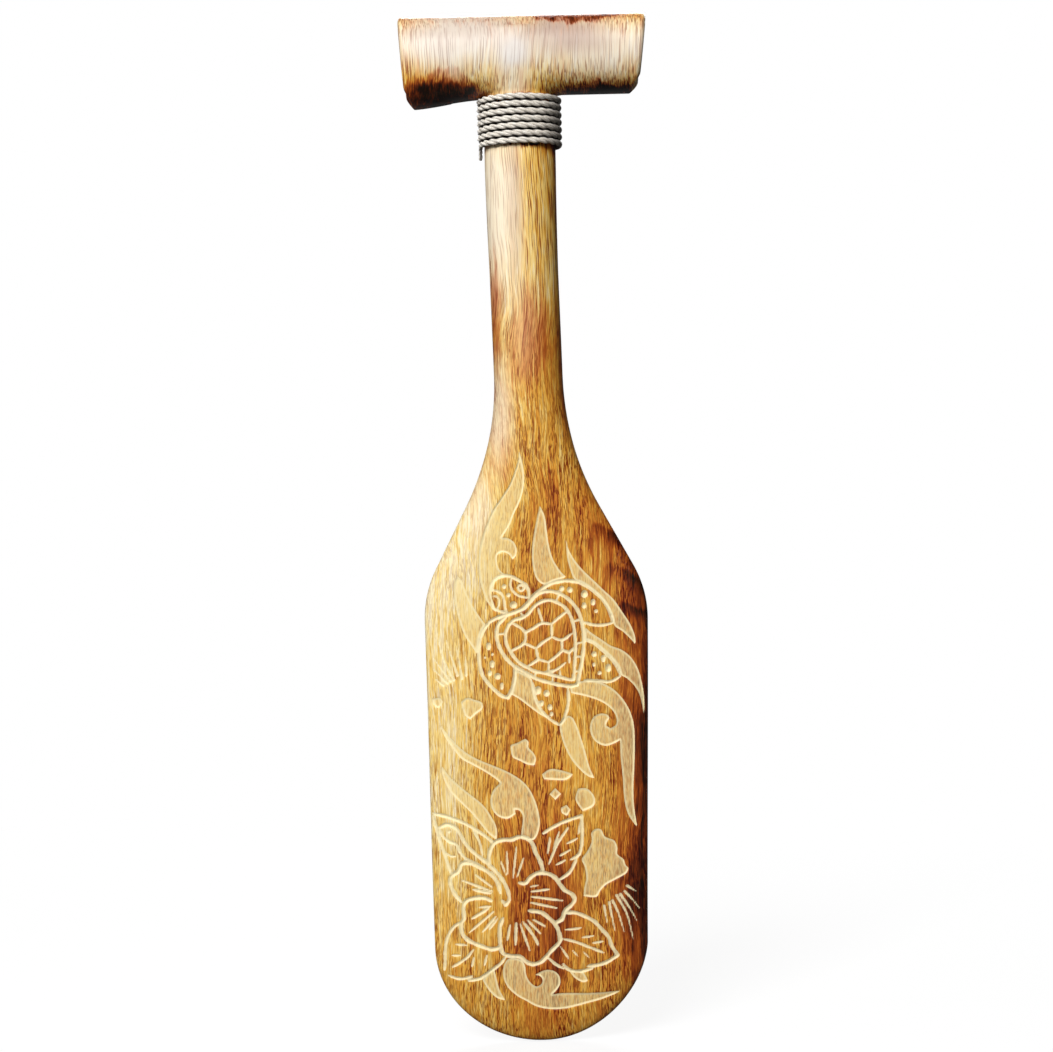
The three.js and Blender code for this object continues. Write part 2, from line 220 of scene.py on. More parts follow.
# The carving. Each of its points is across + down * j, seen from the front.
# Sunk flames and waves, each a closed outline
FLATS = [
    # the long flame with a hook above the turtle's head
    [-5.7+175j, -6.5+180j, -8.5+186j, -11+192j, -15+198j, -19.5+204.5j, -23+212j, -25.5+219j, -27+227j,
    -27.2+235j, -26+243j, -24+249j, -21.5+253j, -18.5+255.5j, -20.5+250j, -21.5+246j, -20.5+241j, -18+238.3j,
    -14+237j, -17+234j, -18+230j, -17.5+226.5j, -15+225.5j, -12+226.8j, -10.5+229.3j, -8.5+227.5j, -8+224j,
    -9.5+220.5j, -12.5+218.5j, -15.3+218.2j, -13.5+215.5j, -11+211.5j, -9+206.5j, -6+200.5j, -4+194j,
    -3.5+187j, -4.5+180j],
    # the flame left of the middle and the one over the right flipper
    [4+202.5j, 6.3+208j, 7.2+215j, 8+222j, 10+229.5j, 13.5+235.5j, 16.5+238.8j, 10+240.5j, 5.5+242.3j, 2+240j,
    0.3+236j, -0.5+230j, -0.3+223j, 1+215j, 2.5+208j],
    [16.5+219.5j, 18+225j, 21+230.5j, 25+235.5j, 30+240.5j, 35+245.5j, 40+250.5j, 44+256.5j, 48+263j,
    50.3+269j, 50.5+273.5j, 48+270.5j, 44+266.5j, 40+263.5j, 38.5+258j, 35+251.5j, 30+246j, 24.5+241.8j,
    20.5+240j, 18.5+235j, 17+229j],
    # beside the left flipper
    [-38+236.5j, -35.5+240.5j, -33.5+246j, -30.5+252.5j, -27+258j, -24.5+261.5j, -27.5+267j, -28.5+273j,
    -29+276.5j, -31.5+272.5j, -35+267j, -37.5+260j, -39.3+252j, -40+244.5j, -39+239.5j],
    # right of the shell
    [25+263.5j, 28+266.5j, 33+270j, 38+273.5j, 43+275.5j, 47.5+279j, 51+284.5j, 53+291j, 54.3+300j, 54.2+311j,
    53+303j, 51.5+297.5j, 49+293.5j, 45.5+290j, 43+288.5j, 41.5+284j, 38+279.5j, 33.5+275j, 29+271.5j,
    25+270j],
    # the big curl on the right
    [17+293.5j, 22+291j, 30+291j, 37+294j, 42+298.5j, 46+304.5j, 48.5+312j, 49+322j, 48.5+335j, 47.8+345j,
    48+355j, 49.5+365.3j, 47+362j, 44.5+357.5j, 43+350j, 42.5+340j, 41.7+330j, 41.5+321j, 38.5+322.5j,
    34+323.6j, 29.5+321.5j, 27+317.5j, 26.7+313j, 28.5+309j, 32+307.3j, 35.5+308j, 36.6+309.5j, 35+312j,
    34.8+313.5j, 37+314.8j, 39.7+313j, 40+310j, 38.5+306.5j, 35+303j, 30+300.3j, 24+298.3j, 17.5+296.8j],
    # under the rear flipper, and left of it
    [15.5+307.8j, 18+309j, 20+313j, 22+319j, 24+326j, 26+334j, 28.5+339.8j, 25+338.5j, 21+335j, 17+330j,
    14+324j, 12+317.5j, 11.5+313j, 13.5+310j],
    [-10.3+284.3j, -6+286.5j, -2+289.3j, -1.3+294j, 300j, 3+305.5j, 6.5+309.8j, 2+307.3j, -3+303.5j,
    -8+299.5j, -12.3+296.8j, -10.8+291j],
    # the two long flames above the flower
    [-49+310j, -46+314.5j, -42+319.5j, -37.5+324j, -31.5+328j, -25+331j, -19+333.5j, -13+336.5j, -8+340j,
    -4.5+344j, -2+349j, 356j, 0.5+362j, -1+367.5j, -3.5+370j, -9.3+368.5j, -8.5+363j, -8+358j, -9.5+355j,
    -12+354.3j, -11.5+356.5j, -15.5+358.8j, -20+357.8j, -23+354.5j, -24+349.5j, -22.5+344.5j, -19+341j,
    -21+339j, -26+335.5j, -32+332j, -38+328.5j, -42.5+323j, -46.5+317j],
    [-48.5+331j, -45+336.5j, -40+341.5j, -34+346.5j, -28+351.5j, -23.5+358j, -21+364j, -21.3+369.5j,
    -25.5+366j, -29.5+361j, -34+355.5j, -39+350.5j, -44+345j, -47.5+338j],
    # under the leaves
    [-24+433.5j, -22.8+439j, -21.5+444.5j, -18.5+450j, -23+448.5j, -27+444.5j, -30+439.5j, -27+436j],
    [-17+429j, -19.3+433j, -19.5+438j, -17.5+443j, -13+447.5j, -8+450.5j, -3+453.3j, 4+454.8j, 12+454.5j,
    21+452.5j, 30+450.3j, 36+448.3j, 39.8+446.5j, 30+447j, 20+447j, 10+446.7j, 4.8+447.3j, 7.5+444.5j,
    9+441.5j, 8.5+438j, 6+435.5j, 2.5+434.8j, -1.5+436j, -4+437.5j, -1.5+437.7j, 439.5j, -0.5+441.8j, -3+443j,
    -6+441j, -8+437j, -8.5+432.5j, -10+430j, -13+428.8j],
    [10.5+432j, 13+435j, 16+439j, 20+441.5j, 23+441j, 21.5+438j, 20+436j, 13+434.8j],
    # a chain of islands from the left edge to the right
    [-52.3+298.2j, -48+297.8j, -46.8+300j, -48.8+303.3j, -51.5+301.5j],
    [-37.8+300j, -34.5+298j, -31+299j, -27.2+300.5j, -26.8+303.5j, -30+306j, -33.3+309j, -36+306.5j],
    [-13.5+322j, -10+321j, -6+319j, -4.3+320.5j, -4.3+323.5j, -2+326j, -0.7+329j, -1.5+332.5j, -5+332j,
    -9+330j, -12.5+328j], [2+337j, 6+334.5j, 11+335j, 18+337.3j, 14+340j, 8+340j, 3+339.5j],
    [5.5+347j, 8.5+344j, 11.5+347j, 8.5+350j], [11+354j, 14+352.5j, 16+355j, 14.3+358.2j, 11.5+356.5j],
    [18.5+350j, 20+344.5j, 24+344.5j, 27+347j, 28.5+350.5j, 27.5+353.5j, 22+356j],
    [26+367j, 28+365j, 31+365.3j, 33+369j, 37.5+371j, 39+374.5j, 39+378j, 42+380.5j, 43+383.5j, 44.5+385j,
    43.5+387.5j, 38+390.5j, 33+393j, 30+396j, 28+399j, 21.5+398.5j, 22+394j, 23+390j, 22.5+384j, 21+380j,
    23.5+376.5j, 25.5+373j, 26.3+370j],
]

# Grooves cut with a V tool: a width, and the lines cut with it
TURTLE = [
    # contour of the back flippers and shell's top, left flipper
    (2.0, [-23+260.5j, -18+258j, -12+256.3j, -7+254.5j, -4+252j, -1+248.5j, 3+245j, 8+242j, 13+240.7j,
     18+240.5j, 24+242j, 30+246j, 35+251j, 38+257j, 39.5+262j],
     [-22.5+260.5j, -26+265j, -28+272j, -28+280j, -26.5+287j, -22+293j, -17+297.5j, -14+298.3j, -12+294j,
     -10.5+288j, -10.5+284j]),
    # shell: outer rim and inner rim
    (2.0, [-14+257.8j, -18+261.5j, -19.2+266.5j, -18+272.5j, -15+278j, -11+282.3j, -5+286j, 289j, 6+291j,
     12+292.5j, 17+293.2j, 20.8+292.8j, 22+287j, 23.7+279j, 24.5+270j, 23.7+261.5j, 21.5+255j, 17.5+250j,
     12.5+246.7j, 7.5+245.5j, 3+246.3j, -1+249.5j, -4+253j, -7+255j]),
    (1.8, [-13+262j, -14.5+266j, -14.3+271j, -12+276j, -8+281j, -3+284j, 285.5j, 6+286.8j, 12+288.5j, 17+290j,
     19+289.8j, 19.5+284j, 20+278j, 20.2+270j, 19.5+263j, 18+258j, 15.5+254j, 12+251.5j, 8+250j, 4+250.5j,
     253j, -3+256.5j, -6+258.5j, -10+259.5j, -13+262j]),
    # ticks across the rim
    (1.2, [12.5+247j, 11.5+250j], [-7+255.8j, -5+258.2j], [-18.5+266.4j, -14.7+266.4j],
     [-12+281j, -10.5+282.8j], [285.8j, -0.5+289j], [8.5+287.6j, 8.5+291.5j], [20+260.7j, 23.3+260j],
     [20.5+272j, 24.2+271.5j], [20.3+278.5j, 23.8+278.5j], [19.6+286j, 22.3+286j]),
    # scutes
    (1.6, [-11+261j, -5+265.5j, -5.3+271j, -12+275j], [2+254j, 4+261j],
     [-5+266j, -1+264j, 3.5+261.5j, 8.5+262j], [8.5+262j, 12+259j, 16+256j], [8.5+262j, 8.5+268.3j],
     [8.5+268.3j, 4+271j, 0.5+274j], [-5.3+271.3j, 0.5+274j], [8.5+268.5j, 13.5+270j, 18.5+267j],
     [13.5+270j, 13.5+275j, 17+276.5j, 19.5+274j], [0.5+274j, 1.5+279.5j, -4+283j], [1.5+279.5j, 6.5+281j],
     [6.5+281j, 10+278.5j, 13.5+275.5j]),
    (1.4, [17+276.5j, 17+281.5j], [6.5+281j, 6.7+285.5j], [4+286j, 10+285j, 15+281.5j], [12+285j, 12.5+288j]),
    # head, eye, jaw
    (1.8, [-20.5+245j, -20.8+242j, -19+239j, -15+237.3j, -11+237.8j, -7.5+239.8j, -4+242j, -2.7+245j,
     -2.5+248.5j]),
    (1.4, [-11+238.5j, -11.7+242j, -10.5+245j, -7.5+247.5j, -3+248.5j],
     [-8+243.4j, -7.2+242.2j, -5.8+242.2j, -5+243.5j, -5.5+244.9j, -7.1+245j, -8+243.4j]),
    (1.5, [-20.3+244.3j, -18.3+245j, -16.1+246.4j, -14.9+249.6j, -14.6+252.9j, -13.4+256.2j]),
    (1.2, [-20.8+247.5j, -18.6+247.6j, -17.5+249.3j, -17.5+251.5j, -18.4+253.8j]),
    (1.6, [-21+249.5j, -20.5+253.3j, -17+255j, -13+256.5j]),
    # edges of the right flipper, rear flipper and bottom flipper
    (1.6, [25+261.5j, 30+263j, 35+263j, 39.5+262j], [24+290.5j, 31+290.8j, 37+291.5j, 42.3+289j],
     [-1.5+291j, -0.5+298j, 2+304j, 6+309j, 11.5+312.7j]),
    (1.8, [25.5+270.3j, 29.5+272j, 34+276j, 38+280j, 41+284.5j, 42.7+288.5j],
     [16+294j, 16.2+300j, 15.3+305j, 13.5+310j, 11.5+312.5j]),
]

HIBISCUS = [
    # petals: top, right, lower right, lower left, left
    (2.2, [-25+383j, -25.5+379j, -24.5+374j, -22+370.5j, -18+369.3j, -14+369.3j, -10+368j, -6+369j,
     -3.5+371.5j, -2+376j, 380j, 1.3+384.5j, 1+386.5j],
     [-10.5+391j, -7.5+391.3j, -5+388.5j, -1+386.3j, 3+386.5j, 7+388.3j, 9+391j, 12+395j, 16+397.5j, 17+400j,
     15.5+402.5j, 12+405.5j, 10.5+409.5j, 7+411.3j],
     [-6+405j, 406j, 4+409j, 7+412j, 9+417j, 9+421j, 5+425j, 2+428.5j, -1+431j, -5+431.8j, -8+430.5j,
     -11+428j, -16+427.5j, -19+426.5j], [-19+408.5j, -20.7+413j, -20.7+420j, -20+425j, -18+427.5j],
     [-20.5+423j, -25+424j, -31+422j, -36.5+419.5j, -39.5+416j, -40+411j, -38.5+408.5j, -38.8+403.5j,
     -37.5+400j, -33+398.3j, -28+398.3j, -24.5+399.8j],
     [-40+400j, -43+396j, -45+391j, -44.5+387.5j, -41+385j, -39+381j, -35+380.8j, -30+383j, -25+386j,
     -21.5+390.5j, -20+396j]),
    # the long pistil
    (2.0, [-50+363j, -46+361.5j, -42+363j, -39.5+366.5j, -37+371j, -33+375.5j, -28+379.5j, -24+383j, -19+389j,
     -16.3+395j, -15.7+399.5j, -17.5+401.8j, -19.5+399.5j]),
    (1.6, [-50+363j, -48.5+367j, -45+370j, -41.5+371.5j, -40+375j, -37+378.5j, -32+381j, -27+384j]),
    # ticks inside the petals
    (1.2, [-16.5+375j, -16+386.5j], [-11.5+373j, -13.5+388.5j], [-8+378.5j, -11.5+388j],
     [-19.5+380j, -17+387j], [-5+393j, -1+392.5j]),
    (1.4, [-4.5+395.5j, 4.5+394.5j], [-5+398j, 11+400.3j], [-5+401j, 8+404j], [-10.5+411.5j, -6+425j],
     [-7+409.5j, -0.5+416.5j], [-4+409.5j, 2+413j], [-15.5+412j, -17+419.5j], [-23.5+405j, -36+415.5j],
     [-22.5+407.5j, -29.5+415.5j], [-24+395j, -39+389.5j]),
    (1.8, [-12.5+411j, -13+422j], [-26+403.5j, -34.5+408.5j], [-25+396j, -33.5+394j]),
    (1.6, [-9+410.5j, -4+417.5j, -1.5+422.5j]),
    (1.3, [-25+402.5j, -31+403j], [-21.5+408.5j, -26+414j], [-24+393j, -32.5+386.5j]),
]

LEAVES = [
    # upper left and upper right
    (1.8, [-53+356j, -46+357.5j, -38+360.5j, -31+364.5j, -25+369j, -22.5+371.5j],
     [-53+357j, -51.5+364j, -49+372j, -46.5+380j, -44.3+386.5j],
     [2+366.5j, 7+363.5j, 13+360.8j, 21.3+358.3j, 21.5+368j, 20+377j, 15.5+380j],
     [18.5+379.5j, 15+386j, 9.5+390j]),
    (1.4, [-33+364.5j, -30+370j, -28.5+377j]),
    (1.2, [-49.5+373.5j, -45+377j, -42+377.5j], [20.5+362j, 19.5+367.5j]),
    (1.3, [5.5+368.5j, 4+377j], [10+366j, 7+374.5j], [19+369.5j, 13.5+372j], [15.5+375j, 10+378j],
     [13+380j, 8+382.5j]),
    (1.5, [14.5+364j, 9+372j, 4.5+382j]),
    # lower right
    (2.0, [12.5+406.5j, 17+406.5j, 22+408.5j, 27+411.5j, 30+415j, 33.5+419j, 35+423.5j, 38+428.5j, 33+431.5j,
     28+433j, 23+433.5j]),
    (1.6, [3+428.5j, 6+431.5j, 11+434.5j]),
    (1.8, [10.5+432j, 13+434.8j, 18+436j, 25+434.8j]),
    (1.5, [11+419.5j, 18+421.5j, 25+424.5j, 31+427j]),
    (1.3, [12+415j, 20+414.3j], [20.5+419j, 26+418.5j], [25.5+422j, 31+421.3j], [9.5+423.5j, 13.5+429.5j],
     [15.5+425.5j, 18+428.3j], [21+426.5j, 23.5+429j]),
    # lower left
    (1.8, [-40.5+410.5j, -44+413j, -47+418j, -48.3+424j, -48.5+430j, -49+434.5j],
     [-37+439.7j, -31+438.5j, -26+435j, -21+431.5j, -18.5+428.5j]),
    (1.6, [-47+437.3j, -41+438.8j, -35+437.5j]),
    (1.5, [-34+424j, -38+428.5j, -45+433j], [-34+428j, -35+432.5j], [-27.5+427j, -28.8+432j]),
    (1.3, [-43+421.5j, -37+421.8j], [-45+427j, -41+427j]),
]

# Two sprays of gouge cuts that start broad and run out thin, drawn from the broad end
SPRAYS = [
    [-46.2+291.8j, -50.5+288.2j], [-44.2+290.7j, -51.2+283.4j], [-42.6+289.6j, -51.1+278j],
    [-40.8+289j, -44.8+281.8j, -47.3+273.9j, -49.3+264j], [-39.2+286.8j, -42.1+277j, -44.5+269j],
    [-36.8+288.4j, -37.8+282j, -39.1+274j], [-34.7+286.8j, -35.2+275j], [31.7+403.5j, 33+412j],
    [34.3+402j, 35.5+409j, 37+416.5j], [36+401j, 39+408j, 41.5+417j], [38+398.5j, 43+408j, 46+421j],
    [40+398j, 44.5+405j, 48+411.7j], [42+396.5j, 46+401j, 49.5+405.5j], [43.5+394j, 48+397j],
]
SPRAY_WIDTH = 1.5
SPRAY_THIN_END = 0.45

# Nicks in the skin of the head and flippers, and one on the pistil: middle, half width, half height
NICKS = [
    (-14.8+242.7j, 1.3, 1.3), (-12.7+247j, 1.2, 1.2), (-10.3+252j, 1.8, 1.8), (-23.2+272.5j, 1.2, 2),
    (-21.3+276.5j, 0.8, 0.8), (-25+278j, 0.7, 0.7), (-21.6+281.5j, 1.3, 2), (-22.8+286j, 1.1, 1.5),
    (-19+287.5j, 1.6, 1.6), (-17+292.5j, 0.9, 1.8), (14+244.3j, 1.2, 1.2), (18+245j, 1.6, 1.6),
    (25.3+247.3j, 1.8, 2), (29.5+251.5j, 1.3, 1.8), (25+253j, 1.2, 1.6), (31+256j, 1, 1),
    (29.5+277.5j, 1.6, 1.6), (34+280j, 1.2, 1.8), (29.3+282.7j, 0.8, 1.2), (36.5+284.5j, 1.4, 2.2),
    (32+287j, 1, 1), (1+295j, 1.5, 2), (5.3+296.5j, 1.9, 1.9), (2.7+301.5j, 1.1, 1.5), (6.8+303.5j, 1.2, 1.6),
    (7.5+307j, 0.8, 1.2), (-45+365j, 0.9, 0.9),
]


def ramp(value, start, end):
    """Nought before start, one after end, a smooth S between."""
    share = np.clip((value - start) / (end - start), 0, 1)
    return share * share * (3 - 2 * share)


def mix(a, b, share):
    return a + (b - a) * share


def signed_power(value, power):
    return np.sign(value) * np.abs(value) ** power


def length_of(vectors):
    return np.linalg.norm(vectors, axis=-1, keepdims=True)


def run_along(line):
    """Length run along a line up to each of its points."""
    return np.r_[0, np.cumsum(length_of(np.diff(line, axis=0)))]


def linear(hex_colour):
    """An sRGB colour as linear RGBA."""
    channels = [int(hex_colour[i:i + 2], 16) / 255 for i in (1, 3, 5)]
    return [c / 12.92 if c <= 0.04045 else ((c + 0.055) / 1.055) ** 2.4 for c in channels] + [1.0]


# Meshes

def put_in_scene(name, data):
    thing = bpy.data.objects.new(name, data)
    bpy.context.scene.collection.objects.link(thing)
    return thing


def make_mesh(name, points, faces):
    mesh = bpy.data.meshes.new(name)
    mesh.from_pydata(points * MM, [], faces)
    mesh.shade_smooth()
    return put_in_scene(name, mesh)


def skin(rings, start=0):
    """Points, numbered from start, and faces of a closed skin over rings: rows by sides by three. A fan to
    the middle of its ring closes each end."""
    rows, sides = rings.shape[:2]
    points = np.vstack([rings.reshape(-1, 3), rings[0].mean(0), rings[-1].mean(0)])
    index = start + np.arange(rows * sides).reshape(rows, sides)
    after = np.roll(index, -1, axis=1)
    walls = np.stack([index[:-1], after[:-1], after[1:], index[1:]], -1).reshape(-1, 4)
    middle = start + np.full(sides, rows * sides)
    top = np.stack([middle, after[0], index[0]], -1)
    foot = np.stack([middle + 1, index[-1], after[-1]], -1)
    return points, walls.tolist() + top.tolist() + foot.tolist()


# Wood

def quadratic(start, corner, end):
    """A quadratic curve from start to end, drawn towards the corner."""
    t = np.linspace(0, 1, 24)[:, None]
    return (1 - t) ** 2 * np.array(start) + 2 * t * (1 - t) * np.array(corner) + t ** 2 * np.array(end)


def edge_curve():
    """The right-hand edge down to the round end, as half widths and heights: straight lines, and one
    quadratic curve each at the shoulder's hollow and its corner."""
    slant = np.array([SHOULDER_SLOPE, -1]) / math.hypot(1, SHOULDER_SLOPE)
    hollow = np.array([SHAFT_HALF_WIDTH, SHOULDER_CORNER])
    corner = np.array([BLADE_HALF_WIDTH, WIDEST_CORNER])
    return np.vstack([
        [(NECK_HALF_WIDTH, BINDING_TOP), (NECK_HALF_WIDTH, BINDING_FOOT)],
        [(SHAFT_HALF_WIDTH, (BINDING_FOOT - SHAFT_LENGTH) / 2)],
        quadratic((SHAFT_HALF_WIDTH, -SHAFT_LENGTH), hollow, hollow + slant * SHOULDER_BLEND),
        quadratic(corner - slant * CORNER_BLEND, corner, (BLADE_HALF_WIDTH, SIDE_TOP)),
        [(BLADE_END_HALF_WIDTH, ROUND_END_TOP)],
    ])


EDGE = edge_curve()


def stick_section(height):
    """The stick at each height: centre, half width, depths to front and back, depth at which the back is
    sanded flat, power, and share of the round end. The half width follows the edge curve, a quarter ellipse
    at the round end, and the flare over the binding. The shaft's oval passes into the blade's squarer one."""
    flat = ramp(-height, SHAFT_LENGTH - SHOULDER_BLEND / 2, -SIDE_TOP)
    spread = ramp(height, BINDING_TOP, FLARE_TOP)
    end_share = np.clip((ROUND_END_TOP - height) / ROUND_END_LENGTH, 0, 1)
    thinning = (1 - end_share ** BLADE_POWER) ** (1 / BLADE_POWER)
    flare = NECK_FLARE * np.clip((height - BINDING_TOP) / NECK_FLARE_HEIGHT, 0, 1) ** 2
    on_blade = ramp(-height, -SHOULDER_CORNER, -SIDE_TOP) * ramp(height, ROUND_END_TOP, SIDE_TOP)
    centre = NECK_OFFSET * ramp(height, SHOULDER_CORNER, BINDING_FOOT) + BLADE_OFFSET * on_blade
    half_width = np.interp(-height, -EDGE[:, 1], EDGE[:, 0]) * np.sqrt(1 - end_share ** 2)
    front, back = (mix(mix(NECK_HALF_DEPTH, depth, flat), GRIP_HALF_DEPTH - NECK_SINK, spread) * thinning
                   for depth in (BLADE_FRONT_DEPTH, BLADE_BACK_DEPTH))
    back_flat = mix(GRIP_HALF_DEPTH, BLADE_BACK_FLAT, flat)
    return centre, half_width + flare, front, back, back_flat, mix(2, BLADE_POWER, flat), end_share


def front_columns():
    """Shares of the half width from right to left, evenly spaced along the blade's crowned front."""
    angle = np.linspace(0, np.pi, 4001)
    across = signed_power(np.cos(angle), 2 / BLADE_POWER)
    deep = np.sin(angle) ** (2 / BLADE_POWER) * BLADE_FRONT_DEPTH / BLADE_HALF_WIDTH
    run = run_along(np.stack([across, deep], -1))
    return np.interp(np.linspace(0, run[-1], FRONT_COLUMNS), run, across)


def make_stick():
    """Shaft and blade as rings: across = centre + half width * share, and deep = depth *
    (1 - |share|^n)^(1/n) to the front, and the same to the back, cut off at the sanded flat."""
    back = -np.cos(np.linspace(0, np.pi, BACK_COLUMNS + 1))[1:-1]
    share = np.r_[front_columns(), back][None, :]
    is_front = np.arange(share.size)[None, :] < FRONT_COLUMNS
    last_carved = math.asin((ROUND_END_TOP - CARVING_FOOT) / ROUND_END_LENGTH)
    height = np.concatenate([
        np.arange(FLARE_TOP, BINDING_TOP, -1.0),
        np.arange(BINDING_TOP, CARVING_TOP, -PLAIN_ROW),
        np.arange(CARVING_TOP, CARVING_FOOT, -CARVED_ROW),
        ROUND_END_TOP - ROUND_END_LENGTH * np.sin(np.linspace(last_carved, math.pi / 2, 16))[:-1],
    ])[:, None]
    centre, half_width, front, back, back_flat, power, end_share = stick_section(height)
    rise = np.clip(1 - np.abs(share) ** power, 0, 1) ** (1 / power)
    deep = np.where(is_front, -front * rise, np.minimum(back * rise, back_flat))
    worn = WORN_CORNER * end_share * np.sqrt(1 - end_share ** 2) * np.clip(share, 0, 1) ** 4
    across = centre + half_width * share - worn
    points, faces = skin(np.stack([across, deep, np.broadcast_to(height, deep.shape)], -1))
    points[-1] = (0, 0, BLADE_TIP)
    return make_mesh("paddle_wood", points, faces)


def grip_foot(x):
    """Height of the grip's underside at x."""
    level = mix(LEFT_ARM_FOOT, RIGHT_ARM_FOOT, ramp(x, -NECK_HALF_WIDTH, NECK_HALF_WIDTH))
    return level - LEFT_ARM_DROP * ramp(-x, NECK_HALF_WIDTH, GRIP_LEFT)


def make_grip():
    """The grip as rings along X, each a superellipse between underside and top. A quarter circle rounds
    the edge of both ends, which lean in on the way down."""
    turn = np.linspace(0, np.pi / 2, 9)[::-1]
    inset = GRIP_EDGE_RADIUS * (1 - np.cos(turn))
    back = GRIP_EDGE_RADIUS * (1 - np.sin(turn))
    ends = GRIP_EDGE_RADIUS - GRIP_LEFT, GRIP_RIGHT - GRIP_EDGE_RADIUS
    middle = np.linspace(*ends, GRIP_RINGS + 2)[1:-1]
    x = np.r_[back - GRIP_LEFT, middle, (GRIP_RIGHT - back)[::-1]][:, None]
    inset = np.r_[inset, middle * 0, inset[::-1]][:, None]
    angle = np.linspace(0, 2 * np.pi, GRIP_SIDES, endpoint=False)[None, :]
    foot = grip_foot(x) + inset
    top = GRIP_TOP - inset
    half_height = (top - foot) / 2
    deep = (GRIP_HALF_DEPTH - inset) * signed_power(np.cos(angle), 2 / GRIP_POWER)
    rise = half_height * signed_power(np.sin(angle), 2 / GRIP_POWER)
    lean = np.where(x < 0, x / GRIP_LEFT * LEFT_SLANT, x / GRIP_RIGHT * RIGHT_SLANT)
    cut = LOW_CORNER_CUT * signed_power(x / GRIP_LEFT, 9) * ramp(-rise / half_height, 0.7, 1.05)
    rings = np.stack([x + lean * (rise - half_height) - cut, deep, (top + foot) / 2 + rise], -1)
    return make_mesh("grip_bar", *skin(rings))


def fuse(body, tool):
    """One closed mesh of both solids."""
    join = body.modifiers.new("fuse", "BOOLEAN")
    join.operation = "UNION"
    join.solver = "MANIFOLD"
    join.object = tool
    shaped = body.evaluated_get(bpy.context.evaluated_depsgraph_get())
    mesh = bpy.data.meshes.new_from_object(shaped)
    mesh.materials.clear()
    body.modifiers.clear()
    old = body.data
    body.data = mesh
    bpy.data.objects.remove(tool)
    bpy.data.meshes.remove(old)


def junction_distance(p):
    """Distance from stick and grip joined by a fillet: the lesser of the two distances, less a quarter
    of the fillet where they are alike."""
    x, y, z = p.T
    centre, half_width, front = stick_section(z)[:3]
    u, v = (x - centre) / half_width, y / front
    reach = np.hypot(u, v) + 1e-9
    steep = np.hypot(u / half_width, v / front) / reach + 1e-9
    to_stick = (reach - 1) / steep
    foot = grip_foot(x)
    half_height = (GRIP_TOP - foot) / 2
    s, t = np.abs(y) / GRIP_HALF_DEPTH, np.abs(z - foot - half_height) / half_height
    reach = (s ** GRIP_POWER + t ** GRIP_POWER) ** (1 / GRIP_POWER) + 1e-9
    steep = np.hypot((s / reach) ** (GRIP_POWER - 1) / GRIP_HALF_DEPTH,
                     (t / reach) ** (GRIP_POWER - 1) / half_height) + 1e-9
    to_grip = (reach - 1) / steep
    fillet = NECK_FILLET * ramp(z, 1.0, 6.0) + 1e-6
    alike = np.clip(1 - np.abs(to_stick - to_grip) / fillet, 0, 1)
    return np.minimum(to_stick, to_grip) - fillet * alike ** 2 / 4


def round_junction(points):
    """Moves the points round the neck's top on to the fillet."""
    x, z = points[:, 0], points[:, 2]
    near = (np.abs(x - NECK_OFFSET) < 42) & (z > 1) & (z < 36)
    p = points[near]
    nudge = 0.02
    for _ in range(5):
        distance = junction_distance(p)
        moved = [junction_distance(p + nudge * axis) - distance for axis in np.eye(3)]
        slope = np.stack(moved, axis=1) / nudge
        p = p - (distance / (slope ** 2).sum(1))[:, None] * slope
    points[near] = p


# Carving

def smooth_line(points, closed=False):
    """A smooth curve through the points, across and up, with a corner at each turn over SHARP_TURN."""
    p = np.conj(points + points[:1] if closed else points).view(float).reshape(-1, 2)
    chord = np.diff(p, axis=0)
    length = length_of(chord)
    first, last = (-1, 0) if closed else (0, -1)
    before = np.vstack([chord[first], chord])
    after = np.vstack([chord, chord[last]])
    both = length_of(before), length_of(after)
    tangent = (before + after) / (both[0] + both[1])
    sharp = (before * after).sum(1)[:, None] < math.cos(SHARP_TURN) * both[0] * both[1]
    leaving = np.where(sharp[:-1], chord / length, tangent[:-1]) * length
    coming = np.where(sharp[1:], chord / length, tangent[1:]) * length
    t = np.linspace(0, 1, 5)[:-1, None, None]
    curve = ((2 * t ** 3 - 3 * t ** 2 + 1) * p[:-1] + (t ** 3 - 2 * t ** 2 + t) * leaving
             + (3 * t ** 2 - 2 * t ** 3) * p[1:] + (t ** 3 - t ** 2) * coming)
    return np.vstack([curve.transpose(1, 0, 2).reshape(-1, 2), p[-1:]])


def distance_to(places, line, half_widths):
    """For each place, the greatest of half width less distance over the line's segments."""
    start, run = line[:-1], np.diff(line, axis=0)
    off = places[:, None] - start
    share = np.clip((off * run).sum(2) / (run * run).sum(1), 0, 1)
    gap = np.linalg.norm(off - share[..., None] * run, axis=2)
    return (half_widths[:-1] + np.diff(half_widths) * share - gap).max(1)


def near_line(places, line):
    low, high = line.min(0) - REACH, line.max(0) + REACH
    return np.flatnonzero(((places > low) & (places < high)).all(1))


def cut_line(field, places, points, width, taper=1.4, thin_end=None):
    """Adds a groove to the field: half its width less the distance to its line. It narrows towards both
    ends, or steadily towards the last one, and wavers as a hand-held tool does."""
    line = smooth_line(points)
    run = run_along(line)
    closed = points[0] == points[-1]
    ends = np.ones_like(run) if closed else ramp(np.minimum(run, run[-1] - run), -2.5 * taper, 2.5)
    if thin_end is not None:
        ends = mix(1, thin_end, run / run[-1])
    slow, quick = GROOVE_WAVER
    waver = 1 + slow * np.sin(run * 0.9 + line[0, 0]) + quick * np.sin(run * 2.3 + line[0, 1])
    near = near_line(places, line)
    field[near] = np.maximum(field[near], distance_to(places[near], line, width / 2 * ends * waver))


